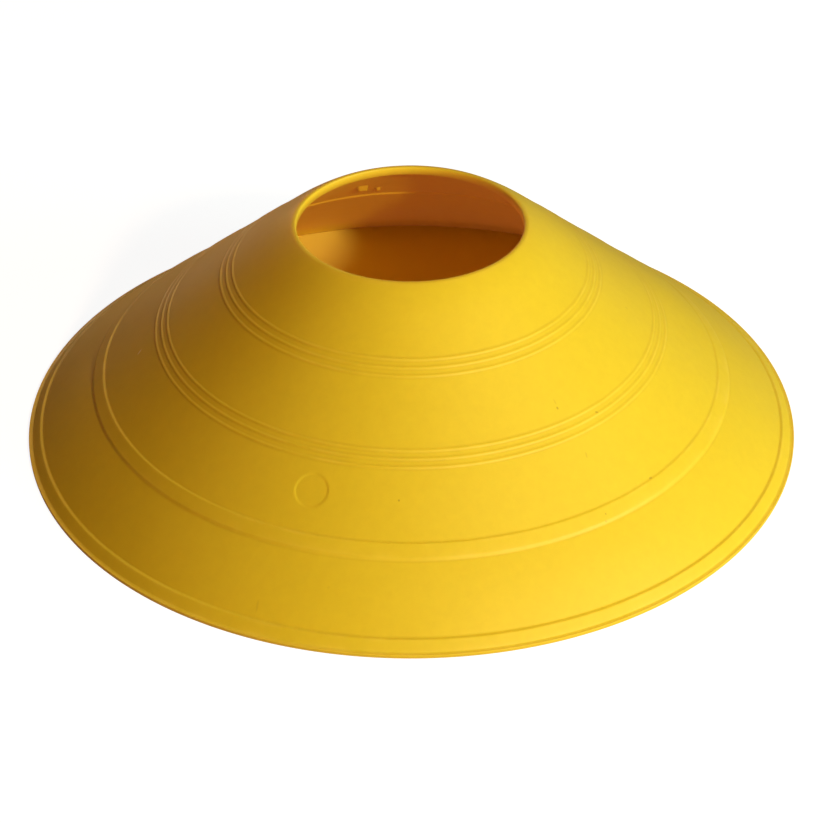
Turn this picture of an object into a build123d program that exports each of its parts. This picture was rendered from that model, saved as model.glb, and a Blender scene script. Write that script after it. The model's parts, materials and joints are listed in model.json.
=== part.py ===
"""Sports marker cone: a low saucer cone moulded in one piece, open at the top and underneath.

Millimetres, +Z up. The origin is on the ground, on the axis of the cone.
"""

import math
import os

from build123d import *

# Overall sizes
base_radius = 95.0  # outer edge of the foot flange
height = 54.3  # ground to the top of the lip
opening_radius = 27.1  # hole in the top
wall = 0.95  # thickness square to the surface, above the inner ledge

# Lip round the opening and the crown that rounds over into it
lip_width = 1.0  # flat annulus on top of the lip
lip_depth = 2.0  # upright wall of the hole
lip_edge = 0.45  # rounding of the lip's two top edges
crown_reach = 7.0  # radial length of the rounded crown
crown_drop = 0.8  # how far the crown pulls the lip below the straight cone

# Foot flange and rim bead at the ground
foot_ledge = 0.95  # ledge outside the bead
foot_height = 0.9  # height of the foot's upright edge
foot_edge = 0.2  # rounding of the foot's two outer edges
skirt_inset = 0.15  # where the cone surface would meet the ground, inside the foot edge
bead_width = 3.7  # from the bead's upper edge to the foot's edge, measured radially
bead_rise = 0.4  # bead above the cone surface
bead_flank = 0.45  # radial length of the bead's upper flank
bead_crown = 0.03  # bulge of the bead's outer face

# An edge is rounded by at most this share of the narrowest face beside it
rounding_share = 0.45

# Raised bands, counted inwards from the bead
band_pitch = 16.33  # radial distance from one band to the next
skirt_bulge = 0.27  # bulge of the lowest section

# Step band: a plain raised band above the lowest section
step_width = 3.5
step_rise = 0.24
step_upper_flank = 0.4
step_lower_flank = 0.6

# Rib bands: fine half-round ribs
ribs_per_band = 3
rib_pitch = 1.5  # radial
rib_width = 0.8  # radial
rib_rise = 0.12

# Ledge inside, from which the wall is thicker down to the ground
ledge_reach = 19.2  # from the end of the crown down to the ledge, radially
ledge_rise = 0.42
ledge_flank = 0.45

# Round witness mark of a mould insert, sunk into the outside below the last rib band
witness_radius = 4.0
witness_depth = 0.12
witness_angle = -109.0  # degrees round the axis, from +X
witness_setback = 7.3  # from the step band up to the mark's centre, radially

# Two small plain pads on the inside, above the ledge
pad_angles = (99.8, 105.7)  # degrees round the axis, from +X
pad_lengths = (0.8, 2.2)  # round the axis
pad_reaches = (14.0, 10.9)  # from the end of the crown down to the pads' centres, radially
pad_width = 1.6  # along the slope
pad_rises = (0.7, 1.1)  # square to the wall

# The straight cone surface, from the ground to the point above the lip that the crown rounds off
lip_radius = opening_radius + lip_width
skirt_radius = base_radius - skirt_inset
slope = (height + crown_drop) / (skirt_radius - lip_radius)
slope_angle = math.atan(slope)
crown_end = lip_radius + crown_reach

# Radii where the bands start, from the bead upwards
bead_start = base_radius - bead_width
step_start = bead_start - band_pitch
rib_band_count = int((step_start - crown_end) / band_pitch)
rib_starts = [step_start - band_pitch * (n + 1) for n in reversed(range(rib_band_count))]


def on_cone(radius, rise=0.0):
    """Point of the section at this radius on the cone surface, moved out by rise square to it."""
    return (
        radius + rise * math.sin(slope_angle),
        slope * (skirt_radius - radius) + rise * math.cos(slope_angle),
    )


def rib_points(start):
    """Upper root, crest and lower root of each rib of the band that starts at this radius."""
    upper_roots = [start + rib_pitch * n for n in range(ribs_per_band)]
    return [
        (on_cone(root), on_cone(root + rib_width / 2, rib_rise), on_cone(root + rib_width))
        for root in upper_roots
    ]


def surface_plane(radius, angle, rise=0.0):
    """Plane on the cone surface, x round the axis, y up the slope and z square to the surface."""
    across, up = on_cone(radius, rise)
    turn = math.radians(angle)
    return Plane(
        origin=(across * math.cos(turn), across * math.sin(turn), up),
        x_dir=(-math.sin(turn), math.cos(turn), 0),
        z_dir=(
            math.cos(turn) * math.sin(slope_angle),
            math.sin(turn) * math.sin(slope_angle),
            math.cos(slope_angle),
        ),
    )


# Section of the wall, from the lip down the outside to the foot and back up the inside
step_end = step_start + step_width
skirt_middle = (step_end + bead_start) / 2
bead_top = on_cone(bead_start + bead_flank, bead_rise)
bead_foot = (base_radius - foot_ledge, foot_height)
bead_length = math.dist(bead_top, bead_foot)
bead_middle = (
    (bead_top[0] + bead_foot[0]) / 2 + bead_crown * (bead_top[1] - bead_foot[1]) / bead_length,
    (bead_top[1] + bead_foot[1]) / 2 + bead_crown * (bead_foot[0] - bead_top[0]) / bead_length,
)
inner_foot = (skirt_radius - (wall + ledge_rise) / math.sin(slope_angle), 0)
ledge_start = crown_end + ledge_reach
up_slope = (-math.cos(slope_angle), math.sin(slope_angle))
lip_rounding = min(lip_edge, rounding_share * min(lip_width, lip_depth))
foot_rounding = min(foot_edge, rounding_share * min(foot_ledge, foot_height))

with BuildPart() as cone_shell:
    with BuildSketch(Plane.XZ) as section:
        with BuildLine():
            Line((opening_radius, height), (lip_radius, height))
            TangentArc(on_cone(crown_end), (lip_radius, height), tangent=up_slope)
            last = on_cone(crown_end)
            for start in rib_starts:
                for upper_root, crest, lower_root in rib_points(start):
                    Line(last, upper_root)
                    ThreePointArc(upper_root, crest, lower_root)
                    last = lower_root
            Polyline(
                last,
                on_cone(step_start),
                on_cone(step_start + step_upper_flank, step_rise),
                on_cone(step_end - step_lower_flank, step_rise),
                on_cone(step_end),
            )
            ThreePointArc(on_cone(step_end), on_cone(skirt_middle, skirt_bulge), on_cone(bead_start))
            Line(on_cone(bead_start), bead_top)
            ThreePointArc(bead_top, bead_middle, bead_foot)
            Polyline(bead_foot, (base_radius, foot_height), (base_radius, 0), inner_foot)
            Polyline(
                inner_foot,
                on_cone(ledge_start + ledge_flank, -wall - ledge_rise),
                on_cone(ledge_start, -wall),
                on_cone(crown_end, -wall),
            )
            TangentArc(on_cone(crown_end, -wall), (opening_radius, height - lip_depth), tangent=up_slope)
            Line((opening_radius, height - lip_depth), (opening_radius, height))
        make_face()
        fillet(section.vertices().group_by(Axis.Y)[-1], lip_rounding)
        fillet(section.vertices().group_by(Axis.X)[-1], foot_rounding)
    revolve(axis=Axis.Z)

    # Sunk disc left by the mould insert
    witness_plane = surface_plane(step_start - witness_setback, witness_angle)
    with BuildSketch(witness_plane.offset(-witness_depth)):
        Circle(witness_radius)
    extrude(amount=wall, mode=Mode.SUBTRACT)

    # Pads on the inside, rooted halfway into the wall
    for angle, length, reach, rise in zip(pad_angles, pad_lengths, pad_reaches, pad_rises):
        with BuildSketch(surface_plane(crown_end + reach, angle, -wall / 2)):
            Rectangle(length, pad_width)
        extrude(amount=-(wall / 2 + rise))

cone_shell.part.label = "cone_shell"
os.makedirs("parts", exist_ok=True)
export_step(cone_shell.part, "parts/cone_shell.step")
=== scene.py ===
"""Sports marker cone: the moulded shell with its finish, on a plain pale floor.

Metres, +Z up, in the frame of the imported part.
"""

import json
import math

import bpy
import numpy as np
from mathutils import Matrix, Vector


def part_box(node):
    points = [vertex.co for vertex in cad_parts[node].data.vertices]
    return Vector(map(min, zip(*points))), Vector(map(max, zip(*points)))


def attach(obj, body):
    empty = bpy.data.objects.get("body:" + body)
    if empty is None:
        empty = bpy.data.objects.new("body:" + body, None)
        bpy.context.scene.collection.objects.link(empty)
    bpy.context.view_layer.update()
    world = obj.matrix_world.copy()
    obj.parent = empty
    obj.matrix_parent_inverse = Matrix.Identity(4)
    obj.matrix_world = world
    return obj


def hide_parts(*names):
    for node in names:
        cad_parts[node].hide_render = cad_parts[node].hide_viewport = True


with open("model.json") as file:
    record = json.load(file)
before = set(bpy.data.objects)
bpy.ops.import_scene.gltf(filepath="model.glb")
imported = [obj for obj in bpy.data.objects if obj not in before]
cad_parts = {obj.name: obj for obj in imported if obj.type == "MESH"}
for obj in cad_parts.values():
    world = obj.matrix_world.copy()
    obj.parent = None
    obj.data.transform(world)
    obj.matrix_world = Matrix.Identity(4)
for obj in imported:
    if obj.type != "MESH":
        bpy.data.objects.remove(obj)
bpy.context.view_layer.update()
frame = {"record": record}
MM = 0.001

# Overall sizes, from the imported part
mounts = {mount["name"]: mount for mount in frame["record"]["mounts"]}
_, shell_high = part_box("cone_shell")
base_radius = shell_high.x
height = shell_high.z
opening_radius = mounts["top_opening"]["dims"]["r_mm"] * MM
wall = 0.95 * MM

# Lip round the opening and the crown that rounds over into it
lip_width = 1.0 * MM
lip_depth = 2.0 * MM
lip_edge = 0.45 * MM
crown_reach = 7.0 * MM
crown_drop = 0.8 * MM

# Foot flange and rim bead at the ground
foot_ledge = 0.95 * MM
foot_height = 0.9 * MM
foot_edge = 0.2 * MM
skirt_inset = 0.15 * MM
bead_width = 3.7 * MM
bead_rise = 0.4 * MM
bead_flank = 0.6 * MM
bead_crown = 0.03 * MM

# Raised bands, counted inwards from the bead
band_pitch = 16.33 * MM
rib_bands = 2
skirt_bulge = 0.27 * MM
step_width = 3.5 * MM
step_rise = 0.22 * MM
step_upper_flank = 0.5 * MM
step_lower_flank = 0.8 * MM
ribs_per_band = 3
rib_pitch = 1.5 * MM
rib_middle = 0.4 * MM
rib_half_width = 0.4 * MM
rib_rise = 0.11 * MM

# The ribs and the step stand out more towards one side of the marker
relief_lean = 0.35
lean_angle = math.radians(-170.0)

# Ledge inside, from which the wall is thicker down to the ground
ledge_reach = 19.2 * MM
ledge_rise = 0.42 * MM
ledge_flank = 0.6 * MM

# Round witness mark of a mould insert, sunk into the outside
witness_radius = 4.0 * MM
witness_depth = 0.12 * MM
witness_edge = 0.4 * MM
witness_angle = math.radians(-109.0)
witness_setback = 7.3 * MM

# Two small plain pads on the inside
pad_angles = (math.radians(99.8), math.radians(105.7))
pad_lengths = (0.8 * MM, 2.2 * MM)
pad_reaches = (14.0 * MM, 10.9 * MM)
pad_width = 1.6 * MM
pad_rises = (0.7 * MM, 1.1 * MM)
pad_edge = 0.3 * MM

# Share of the light that goes through the wall: from outside, from inside, and at the lip and the foot
outer_through = 0.27
inner_through = 0.42
edge_through = 0.3

# Less goes through below the inner ledge, and still less towards the bead
ledge_dimming = 0.08
bead_dimming = 0.5
bead_shade = 10.0 * MM

# Rubbing, and the painted highlight, of the lip's and foot's edges, as a share of that on the raised edges
edge_rub_and_highlight = 0.5

# Painted shade in the hollow corners of the relief: half width of each line of it
corner_shade_reach = 0.32 * MM

# Colours of the plastic: its two tones, mottling, rubbed edges with a painted highlight, painted shade in
# the hollow corners, specks, scrapes, light through it
deep_yellow = (0.72, 0.575, 0.019)
bright_yellow = (0.78, 0.62, 0.025)
mottle_colour = (0.4, 0.25, 0.012)
# Paler colour of the raised edges: partly real rubbing, partly a painted highlight
rubbed_and_highlight_colour = (0.86, 0.67, 0.06)
# Darker colour painted into the hollow corners of the relief as shade
painted_shade_colour = (0.36, 0.2, 0.012)
speck_colour = (0.12, 0.055, 0.01)
scrape_colour = (0.95, 0.85, 0.35)
through_colour = (1.0, 0.55, 0.24)

# Gloss and grain of the plastic
dull_roughness = 0.56
shiny_roughness = 0.42
rubbed_shine = 0.15
specular_level = 0.25
refraction = 1.5
grain_strength = 0.12
grain_height = 0.1 * MM

# Share of a small mark's half size up to which it has its full colour
mark_core = 0.55

# Small marks on the outside: radius on the cone in mm, degrees round the axis from +X, half length up the
# slope and half width in mm, turn in degrees, strength, and whether it is a pale scrape, not a dark speck
small_marks = (
    (66.2, -171.9, 1.1, 0.34, 35.0, 0.95, True),
    (89.2, -112.2, 1.8, 0.35, 8.0, 0.14, False),
    (67.8, -92.2, 0.3, 0.28, 0.0, 0.5, False),
    (56.4, -53.9, 0.45, 0.3, 0.0, 0.45, False),
    (55.2, -53.7, 0.9, 0.25, 0.0, 0.16, False),
    (60.2, -45.2, 0.5, 0.3, 60.0, 0.42, False),
    (66.0, -53.1, 0.9, 0.28, -15.0, 0.18, False),
    (76.7, -55.4, 0.35, 0.25, 0.0, 0.4, False),
    (77.9, -56.0, 0.3, 0.2, 0.0, 0.35, False),
    (75.0, -43.3, 0.35, 0.6, 0.0, 0.4, False),
    (83.8, -102.4, 0.5, 0.4, 0.0, 0.1, False),
    (52.3, -9.1, 0.6, 0.4, 0.0, 0.12, False),
)

# Mesh steps
coarse_step = 1.3 * MM
fine_step = 0.12 * MM
mark_step = 0.26 * MM
flank_margin = 0.4 * MM
corner_steps = 5
columns = 270

# The straight cone surface and the radii where its bands start
lip_radius = opening_radius + lip_width
skirt_radius = base_radius - skirt_inset
slope = (height + crown_drop) / (skirt_radius - lip_radius)
slope_angle = math.atan(slope)
slope_sin = math.sin(slope_angle)
slope_cos = math.cos(slope_angle)
crown_end = lip_radius + crown_reach
bead_start = base_radius - bead_width
step_start = bead_start - band_pitch
step_end = step_start + step_width
rib_starts = [step_start - band_pitch * (n + 1) for n in reversed(range(rib_bands))]
rib_band_width = rib_pitch * (ribs_per_band - 1) + 2 * rib_middle
rib_middles = [start + rib_pitch * n + rib_middle for start in rib_starts for n in range(ribs_per_band)]
ledge_start = crown_end + ledge_reach
witness_radius_on_cone = step_start - witness_setback
pad_radii = [crown_end + reach for reach in pad_reaches]

# Where the bead's face ends on the foot's ledge
bead_foot_radius = base_radius - foot_ledge
bead_end_rise = (foot_height - slope * (skirt_radius - bead_foot_radius)) * slope_cos
bead_end = bead_foot_radius - bead_end_rise * slope_sin


def smooth(x):
    """0 below 0, 1 above 1, and a soft step between."""
    x = np.clip(x, 0, 1)
    return x * x * (3 - 2 * x)


def hump(x, middle, half_width):
    """1 in the middle, falling softly to 0 at half a width from it."""
    away = np.clip(np.abs(x - middle) / half_width, 0, 1)
    return (1 - away**2) ** 2


def rib_shape(radius):
    """1 on the crest of each fine rib, 0 beside the ribs."""
    return sum(hump(radius, middle, rib_half_width) for middle in rib_middles)


def relief(radius):
    """Height of the ribs and the step over the straight cone."""
    onto_step = smooth((radius - step_start) / step_upper_flank)
    off_step = smooth((step_end - radius) / step_lower_flank)
    return rib_rise * rib_shape(radius) + step_rise * onto_step * off_step


def outer_rise(radius):
    """Height of the outside over the straight cone, from the end of the crown to the bead's outer edge."""
    along_skirt = np.clip((radius - step_end) / (bead_start - step_end), 0, 1)
    bulge = skirt_bulge * 4 * along_skirt * (1 - along_skirt)
    along_bead = np.clip((radius - bead_start) / (bead_end - bead_start), 0, 1)
    bead = bead_rise + (bead_end_rise - bead_rise) * along_bead
    bead += bead_crown * 4 * along_bead * (1 - along_bead)
    bead *= smooth((radius - bead_start) / bead_flank)
    return relief(radius) + bulge + bead


def inner_rise(radius):
    """Depth of the inside under the straight cone, with the thicker wall below the ledge."""
    return -wall - ledge_rise * smooth((radius - ledge_start) / ledge_flank)


def on_cone(radius, rise):
    """Section points at these radii of the straight cone, moved out by rise square to it."""
    return np.column_stack(
        (radius + rise * slope_sin, slope * (skirt_radius - radius) + rise * slope_cos)
    )


def spread(first, last, step):
    """Even positions from first to last, at most a step apart."""
    return np.linspace(first, last, math.ceil((last - first) / step) + 1)


def stations(first, last, coarse, fine_spans):
    """Positions from first to last in coarse steps, with finer ones inside each (from, to, step) span."""
    points = spread(first, last, coarse)
    for span_first, span_last, step in fine_spans:
        points = points[(points < span_first) | (points > span_last)]
        points = np.concatenate((points, spread(span_first, span_last, step)))
    return np.unique(points)


def round_corner(before, corner, after, reach):
    """Points of a soft corner that starts and ends this far from the sharp one."""
    before, corner, after = (np.array(point) for point in (before, corner, after))
    start = corner + (before - corner) * reach / np.linalg.norm(before - corner)
    end = corner + (after - corner) * reach / np.linalg.norm(after - corner)
    share = np.linspace(0, 1, corner_steps + 1)[:, None]
    return start * (1 - share) ** 2 + 2 * corner * share * (1 - share) + end * share**2


def outer_run():
    """Radii and points of the outside, from the end of the crown to the foot's ledge."""
    witness_span = (witness_radius + witness_edge) * slope_cos
    fine_spans = [
        (start - flank_margin, start + rib_band_width + flank_margin, fine_step) for start in rib_starts
    ]
    fine_spans += [
        (step_start - flank_margin, step_start + step_upper_flank + flank_margin, fine_step),
        (step_end - step_lower_flank - flank_margin, step_end + flank_margin, fine_step),
        (bead_start - flank_margin, bead_start + bead_flank + flank_margin, fine_step),
        (bead_end - flank_margin, bead_end, fine_step),
        (witness_radius_on_cone - witness_span, witness_radius_on_cone + witness_span, mark_step),
    ]
    radii = stations(crown_end, bead_end, coarse_step, fine_spans)
    return radii, on_cone(radii, outer_rise(radii))


def inner_run(foot_radius):
    """Radii and points of the inside, from the ground up to the end of the crown."""
    pad_span = (pad_width / 2 + pad_edge) * slope_cos
    fine_spans = [
        (ledge_start - flank_margin, ledge_start + ledge_flank + flank_margin, fine_step),
        (min(pad_radii) - pad_span, max(pad_radii) + pad_span, mark_step),
    ]
    radii = stations(crown_end, foot_radius, coarse_step, fine_spans)[::-1]
    return radii, on_cone(radii, inner_rise(radii))


def shell_section():
    """Closed section of the wall: points, the cone radius of each, and its side: 1 out, -1 in, 0 edges."""
    outer_radii, outside = outer_run()
    crown_radii = spread(lip_radius, crown_end, coarse_step)[1:-1]
    crown = on_cone(crown_radii, np.zeros_like(crown_radii))
    crown[:, 1] -= crown_drop * ((crown_end - crown_radii) / crown_reach) ** 2

    inner_foot_radius = skirt_radius - (wall + ledge_rise) * slope_cos / slope
    inner_radii, inside = inner_run(inner_foot_radius)
    foot_corner = (base_radius, foot_height)
    sole_corner = (base_radius, 0)
    foot = np.concatenate(
        (
            round_corner((bead_foot_radius, foot_height), foot_corner, sole_corner, foot_edge),
            round_corner(foot_corner, sole_corner, inside[0], foot_edge),
        )
    )

    inner_crown_end = inside[-1]
    land_foot = np.array((opening_radius, height - lip_depth))
    reach = inner_crown_end[0] - opening_radius
    inner_drop = inner_crown_end[1] + slope * reach - land_foot[1]
    share = spread(0, 1, coarse_step / reach)[1:]
    inner_crown = np.column_stack(
        (
            inner_crown_end[0] - reach * share,
            inner_crown_end[1] + slope * reach * share - inner_drop * share**2,
        )
    )

    inner_corner = (opening_radius, height)
    outer_corner = (lip_radius, height)
    lip = np.concatenate(
        (
            round_corner(land_foot, inner_corner, outer_corner, lip_edge),
            round_corner(inner_corner, outer_corner, crown[0], lip_edge),
        )
    )

    runs = [(crown, 1), (outside, 1), (foot, 0), (inside, -1), (inner_crown, -1), (lip, 0)]
    radii = [crown_radii, outer_radii, foot[:, 0], inner_radii, inner_crown[:, 0], lip[:, 0]]
    points = np.concatenate([run for run, _ in runs])
    sides = np.concatenate([np.full(len(run), side) for run, side in runs])
    return points, np.concatenate(radii), sides


def shell_angles():
    """Angles of the mesh's columns, closer together at the witness mark and the pads."""
    witness_half = (witness_radius + witness_edge) / witness_radius_on_cone
    pad_half = (max(pad_lengths) / 2 + pad_edge) / min(pad_radii)
    spans = [
        (
            witness_angle - witness_half,
            witness_angle + witness_half,
            mark_step / witness_radius_on_cone,
        ),
        (min(pad_angles) - pad_half, max(pad_angles) + pad_half, mark_step / min(pad_radii)),
    ]
    return stations(-math.pi, math.pi, 2 * math.pi / columns, spans)[:-1]


def surface_marks(radii, sides, angles):
    """How far each point of the mesh stands out of the plain section, square to the cone."""
    radius = radii[:, None]
    side = sides[:, None]
    along = (radius - witness_radius_on_cone) / slope_cos
    across = (angles[None, :] - witness_angle) * witness_radius_on_cone
    from_witness = np.hypot(along, across)
    sunk = smooth((witness_radius - from_witness) / witness_edge)
    lean = relief_lean * np.cos(angles[None, :] - lean_angle) * relief(radius)
    marks = np.where(side == 1, lean - witness_depth * sunk, 0.0)
    for angle, length, pad_radius, pad_rise in zip(pad_angles, pad_lengths, pad_radii, pad_rises):
        along = np.abs(radius - pad_radius) / slope_cos
        across = np.abs(angles[None, :] - angle) * pad_radius
        pad = smooth((pad_width / 2 - along) / pad_edge + 1)
        pad = pad * smooth((length / 2 - across) / pad_edge + 1)
        marks = np.where(side == -1, marks - pad_rise * pad, marks)
    return marks


def light_through(radii, sides):
    """Share of the light that each row of the mesh lets through."""
    below_ledge = smooth((radii - ledge_start) / ledge_flank)
    at_bead = smooth((radii - bead_start) / bead_shade + 1)
    inside = inner_through * (1 - ledge_dimming * below_ledge) * (1 - bead_dimming * at_bead)
    return np.select([sides == 1, sides == -1], [outer_through, inside], edge_through)


def edge_wear_and_highlight(radii, sides):
    """1 on the raised edges that rub in a stack and carry a painted highlight, less on the lip and the
    foot, 0 on the plain surface.
    """
    edges = (
        (step_start + step_upper_flank, step_upper_flank),
        (step_end - step_lower_flank, step_lower_flank),
        (bead_start + bead_flank, bead_flank),
        (bead_end, bead_flank),
    )
    worn_and_highlit = rib_shape(radii) + sum(hump(radii, middle, reach) for middle, reach in edges)
    return np.select([sides == 1, sides == 0], [np.clip(worn_and_highlit, 0, 1), edge_rub_and_highlight], 0.0)


def corner_painted_shade(radii, sides):
    """1 in the hollow corners of the relief, where shade is painted, 0 on the plain surface."""
    corners = [middle + side * rib_half_width for middle in rib_middles for side in (-1, 1)]
    corners += [step_start, step_end, bead_start]
    shaded_corners = sum(hump(radii, corner, corner_shade_reach) for corner in corners)
    return np.where(sides == 1, np.clip(shaded_corners, 0, 1), 0.0)


def lathe(name, points, radii, sides, angles):
    """The section turned round the axis, with its local marks, as one closed mesh."""
    marks = surface_marks(radii, sides, angles)
    across = points[:, 0, None] + marks * slope_sin
    up = points[:, 1, None] + marks * slope_cos
    vertices = np.stack((across * np.cos(angles), across * np.sin(angles), up), axis=-1)
    rows, cols = marks.shape
    index = np.arange(rows * cols).reshape(rows, cols)
    next_row = np.roll(index, -1, axis=0)
    faces = np.stack(
        (index, next_row, np.roll(next_row, -1, axis=1), np.roll(index, -1, axis=1)), axis=-1
    )
    mesh = bpy.data.meshes.new(name)
    mesh.from_pydata(vertices.reshape(-1, 3).tolist(), [], faces.reshape(-1, 4).tolist())
    mesh.shade_smooth()
    for attribute, row_values in (
        ("through", light_through(radii, sides)),
        ("wear_and_highlight", edge_wear_and_highlight(radii, sides)),
        ("corner_shade", corner_painted_shade(radii, sides)),
    ):
        values = np.repeat(row_values, cols)
        mesh.attributes.new(attribute, "FLOAT", "POINT").data.foreach_set("value", values)
    piece = bpy.data.objects.new(name, mesh)
    bpy.context.scene.collection.objects.link(piece)
    return piece


def add_node(tree, kind, inputs=None, **settings):
    """A new node, with its settings and inputs: an input is a value, or an output socket to link."""
    node = tree.nodes.new(kind)
    for name, value in settings.items():
        setattr(node, name, value)
    for name, value in (inputs or {}).items():
        if isinstance(value, bpy.types.NodeSocket):
            tree.links.new(value, node.inputs[name])
        else:
            node.inputs[name].default_value = value
    return node


def calculate(tree, operation, first, second):
    """Output of a Math node."""
    return add_node(tree, "ShaderNodeMath", {0: first, 1: second}, operation=operation).outputs["Value"]


def ramp(tree, value, from_low, from_high, to_low, to_high):
    """The value's range from_low to from_high laid on to_low to to_high, and held there outside it."""
    inputs = {
        "Value": value,
        "From Min": from_low,
        "From Max": from_high,
        "To Min": to_low,
        "To Max": to_high,
    }
    return add_node(tree, "ShaderNodeMapRange", inputs).outputs["Result"]


def noise(tree, place, scale, detail=2.0, roughness=0.5):
    """Output of a Noise Texture, with the scale in cells per metre."""
    inputs = {"Vector": place, "Scale": scale, "Detail": detail, "Roughness": roughness}
    return add_node(tree, "ShaderNodeTexNoise", inputs).outputs["Fac"]


def tint(tree, share, plain, tinted):
    """Colour that goes from plain to tinted with share."""
    node = add_node(tree, "ShaderNodeMix", {"Factor": share}, data_type="RGBA")
    for socket, colour in ((node.inputs[6], plain), (node.inputs[7], tinted)):
        if isinstance(colour, bpy.types.NodeSocket):
            tree.links.new(colour, socket)
        else:
            socket.default_value = (*colour, 1)
    return node.outputs[2]


def mark_share(tree, place, radius, angle, half_length, half_width, turn):
    """1 in the middle of a small oval mark on the outside, 0 away from it."""
    around = math.radians(angle)
    outward = Vector((math.cos(around) * slope_sin, math.sin(around) * slope_sin, slope_cos))
    up_slope = Vector((-math.cos(around) * slope_cos, -math.sin(around) * slope_cos, slope_sin))
    axes = Matrix((up_slope.cross(outward), up_slope, outward)).transposed()
    axes = axes @ Matrix.Rotation(math.radians(turn), 3, "Z")
    across, up = on_cone(np.array([radius]), np.zeros(1))[0]
    inputs = {
        "Vector": place,
        "Location": (across * math.cos(around), across * math.sin(around), up),
        "Rotation": axes.to_euler(),
        "Scale": (half_width, half_length, wall / 2),
    }
    local = add_node(tree, "ShaderNodeMapping", inputs, vector_type="TEXTURE").outputs["Vector"]
    away = add_node(tree, "ShaderNodeVectorMath", {0: local}, operation="LENGTH").outputs["Value"]
    return ramp(tree, away, from_low=mark_core, from_high=1.0, to_low=1.0, to_high=0.0)


def polyethylene():
    """Satin yellow polyethylene, coloured right through and slightly translucent, with light wear, a
    painted highlight on the raised edges and painted shade in the hollow corners of the relief.
    """
    material = bpy.data.materials.new("yellow_polyethylene")
    material.use_nodes = True
    tree = material.node_tree
    shader = tree.nodes["Principled BSDF"]
    place = add_node(tree, "ShaderNodeTexCoord").outputs["Object"]
    wear_and_highlight = add_node(tree, "ShaderNodeAttribute", attribute_name="wear_and_highlight").outputs["Fac"]
    corner_shade = add_node(tree, "ShaderNodeAttribute", attribute_name="corner_shade").outputs["Fac"]
    share_through = add_node(tree, "ShaderNodeAttribute", attribute_name="through").outputs["Fac"]

    clouds = noise(tree, place, scale=28.0, detail=4.0, roughness=0.55)
    colour = tint(tree, clouds, deep_yellow, bright_yellow)
    mottle = noise(tree, place, scale=420.0, detail=4.0, roughness=0.65)
    mottle = ramp(tree, mottle, from_low=0.3, from_high=0.7, to_low=0.0, to_high=0.1)
    colour = tint(tree, mottle, colour, mottle_colour)
    # Raised edges, the lip and the foot go paler: partly real wear, partly a painted highlight
    rubbing_and_highlight = noise(tree, place, scale=160.0, detail=3.0)
    rubbing_and_highlight = ramp(tree, rubbing_and_highlight, from_low=0.4, from_high=0.65, to_low=0.0, to_high=0.35)
    rubbed_and_highlight = calculate(tree, "MULTIPLY", wear_and_highlight, rubbing_and_highlight)
    colour = tint(tree, rubbed_and_highlight, colour, rubbed_and_highlight_colour)
    # Hollow corners of the relief darkened in patches: painted shade
    shade_patchiness = noise(tree, place, scale=120.0, detail=3.0)
    shade_patchiness = ramp(tree, shade_patchiness, from_low=0.35, from_high=0.65, to_low=0.05, to_high=0.16)
    painted_shade_share = calculate(tree, "MULTIPLY", corner_shade, shade_patchiness)
    colour = tint(tree, painted_shade_share, colour, painted_shade_colour)
    for radius, angle, half_length, half_width, turn, strength, pale in small_marks:
        share = mark_share(
            tree, place, radius * MM, angle, half_length * MM, half_width * MM, turn
        )
        mark_colour = scrape_colour if pale else speck_colour
        colour = tint(tree, calculate(tree, "MULTIPLY", share, strength), colour, mark_colour)
    tree.links.new(colour, shader.inputs["Base Color"])

    grain = noise(tree, place, scale=1800.0, detail=3.0, roughness=0.6)
    bump = add_node(
        tree, "ShaderNodeBump", {"Height": grain, "Strength": grain_strength, "Distance": grain_height}
    )
    tree.links.new(bump.outputs["Normal"], shader.inputs["Normal"])

    rough = ramp(
        tree, clouds, from_low=0.3, from_high=0.7, to_low=shiny_roughness, to_high=dull_roughness
    )
    rough = calculate(tree, "SUBTRACT", rough, calculate(tree, "MULTIPLY", rubbed_and_highlight, rubbed_shine))
    tree.links.new(rough, shader.inputs["Roughness"])
    shader.inputs["Specular IOR Level"].default_value = specular_level
    shader.inputs["IOR"].default_value = refraction

    through = add_node(tree, "ShaderNodeBsdfTranslucent", {"Color": (*through_colour, 1)})
    both = add_node(
        tree,
        "ShaderNodeMixShader",
        {
            "Fac": share_through,
            1: shader.outputs["BSDF"],
            2: through.outputs["BSDF"],
        },
    )
    tree.links.new(both.outputs["Shader"], tree.nodes["Material Output"].inputs["Surface"])
    return material


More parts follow.
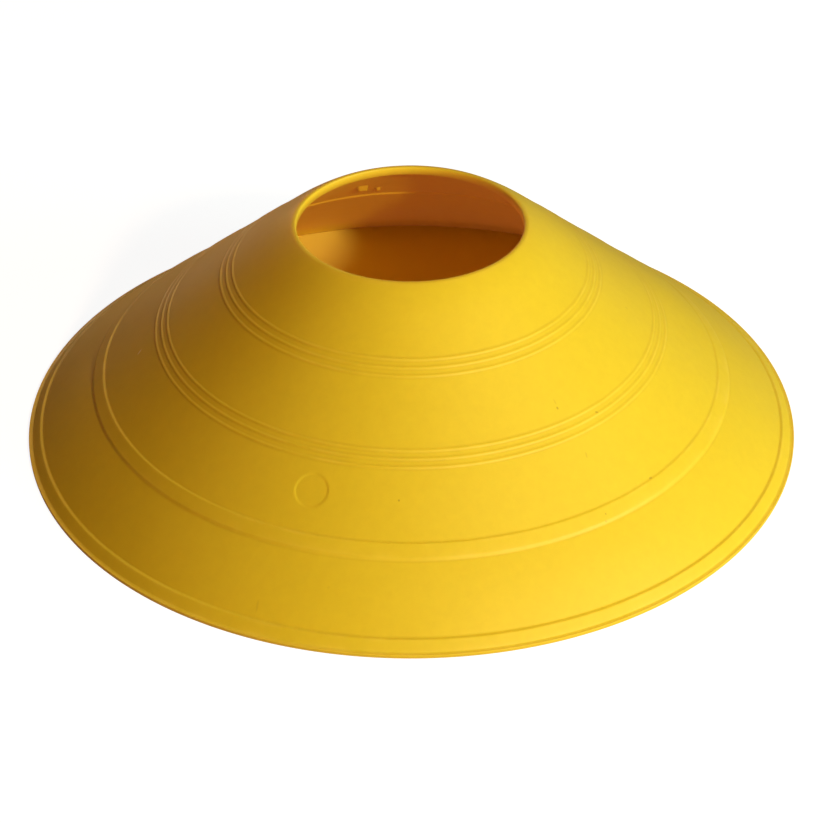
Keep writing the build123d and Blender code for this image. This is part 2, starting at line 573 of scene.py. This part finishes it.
def pale_floor():
    """Floor that shows white round the marker, with its shadow kept, and a yellow tint inside its foot
    that is painted light, for light coloured by the plastic.
    """
    reach = 6.0
    # Yellow painted on the floor inside the foot: painted light, for the light that comes through the
    # yellow plastic
    painted_light_tint = (0.89, 0.75, 0.12)
    outside_grey = (0.25, 0.25, 0.25)
    whiteness = 0.92
    mirrored = 0.1
    corners = [(-reach, -reach, 0), (reach, -reach, 0), (reach, reach, 0), (-reach, reach, 0)]
    mesh = bpy.data.meshes.new("floor")
    mesh.from_pydata(corners, [], [(0, 1, 2, 3)])
    floor = bpy.data.objects.new("floor", mesh)
    bpy.context.scene.collection.objects.link(floor)

    material = bpy.data.materials.new("floor_white")
    material.use_nodes = True
    tree = material.node_tree
    tree.nodes.remove(tree.nodes["Principled BSDF"])
    place = add_node(tree, "ShaderNodeTexCoord").outputs["Object"]
    away = add_node(tree, "ShaderNodeVectorMath", {0: place}, operation="LENGTH").outputs["Value"]
    outside = calculate(tree, "GREATER_THAN", away, base_radius - foot_ledge)
    ground = tint(tree, outside, painted_light_tint, outside_grey)
    diffuse = add_node(tree, "ShaderNodeBsdfDiffuse", {"Color": ground})
    shown = calculate(tree, "MULTIPLY", seen_directly(tree, mirrored), outside)
    lift = calculate(tree, "MULTIPLY", shown, whiteness)
    glow = add_node(tree, "ShaderNodeEmission", {"Strength": lift})
    both = add_node(
        tree, "ShaderNodeAddShader", {0: diffuse.outputs["BSDF"], 1: glow.outputs["Emission"]}
    )
    tree.links.new(both.outputs["Shader"], tree.nodes["Material Output"].inputs["Surface"])
    mesh.materials.append(material)


def seen_directly(tree, mirrored):
    """1 for rays from the camera and through the wall, mirrored for reflections, 0 for other light."""
    path = add_node(tree, "ShaderNodeLightPath").outputs
    shown = calculate(tree, "MAXIMUM", path["Is Camera Ray"], path["Is Transmission Ray"])
    reflected = calculate(tree, "MULTIPLY", path["Is Glossy Ray"], mirrored)
    return calculate(tree, "MAXIMUM", shown, reflected)


def surroundings():
    """White behind everything, a weak even light, and a room that is paler to the right in reflections."""
    world = bpy.data.worlds.new("studio")
    world.use_nodes = True
    tree = world.node_tree
    ambient = 0.02
    direction = add_node(tree, "ShaderNodeTexCoord").outputs["Generated"]
    to_light = Vector((0.9, 0.0, 0.45))
    facing = add_node(
        tree, "ShaderNodeVectorMath", {0: direction, 1: to_light}, operation="DOT_PRODUCT"
    )
    room = ramp(
        tree, facing.outputs["Value"], from_low=-0.4, from_high=0.6, to_low=0.05, to_high=0.75
    )
    strength = calculate(tree, "MAXIMUM", seen_directly(tree, room), ambient)
    background = tree.nodes["Background"]
    background.inputs["Color"].default_value = (1, 1, 1, 1)
    tree.links.new(strength, background.inputs["Strength"])
    bpy.context.scene.world = world


def softbox(name, azimuth, elevation, distance, size, power, colour):
    """Square area light that points at the marker, from an azimuth round +Z counted from +X."""
    light = bpy.data.lights.new(name, "AREA")
    light.size = size
    light.energy = power
    light.color = colour
    turn = math.radians(azimuth)
    rise = math.radians(elevation)
    towards = Vector(
        (math.cos(turn) * math.cos(rise), math.sin(turn) * math.cos(rise), math.sin(rise))
    )
    lamp = bpy.data.objects.new(name, light)
    lamp.location = towards * distance
    lamp.rotation_mode = "QUATERNION"
    lamp.rotation_quaternion = towards.to_track_quat("Z", "Y")
    bpy.context.scene.collection.objects.link(lamp)


def photo_camera():
    """Camera at the photograph's viewpoint, found by fitting the marker's rings."""
    image_width = 823
    focal_pixels = 2261.0
    middle_x = 381.3
    middle_y = 388.6
    sensor = 36.0
    distance = 0.56736
    elevation = math.radians(34.459)
    yaw = math.radians(0.739)
    pitch = math.radians(0.546)
    roll = math.radians(0.134)
    data = bpy.data.cameras.new("photo_camera")
    data.sensor_width = sensor
    data.lens = sensor * focal_pixels / image_width
    data.shift_x = 0.5 - middle_x / image_width
    data.shift_y = middle_y / image_width - 0.5
    camera = bpy.data.objects.new("photo_camera", data)
    place = Vector((0, -distance * math.cos(elevation), distance * math.sin(elevation)))
    aim = Matrix.Rotation(math.pi / 2 - elevation, 4, "X")
    aim = aim @ Matrix.Rotation(yaw, 4, "Y")
    aim = aim @ Matrix.Rotation(pitch, 4, "X")
    aim = aim @ Matrix.Rotation(-roll, 4, "Z")
    camera.matrix_world = Matrix.Translation(place) @ aim
    bpy.context.scene.collection.objects.link(camera)
    bpy.context.scene.camera = camera


section_points, section_radii, section_sides = shell_section()
shell = lathe("marker_shell", section_points, section_radii, section_sides, shell_angles())
shell.data.materials.append(polyethylene())
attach(shell, "root")
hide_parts("cone_shell")

pale_floor()
surroundings()
softbox("key", azimuth=-60, elevation=31.5, distance=1.0, size=0.07, power=8.8, colour=(1, 0.72, 0.47))
softbox("side", azimuth=-28, elevation=18, distance=1.0, size=0.4, power=9.3, colour=(0.78, 1, 0.98))
softbox("back", azimuth=115, elevation=12, distance=1.0, size=0.4, power=2.3, colour=(1, 0.7, 0.33))
photo_camera()
bpy.context.scene.view_settings.view_transform = "Standard"
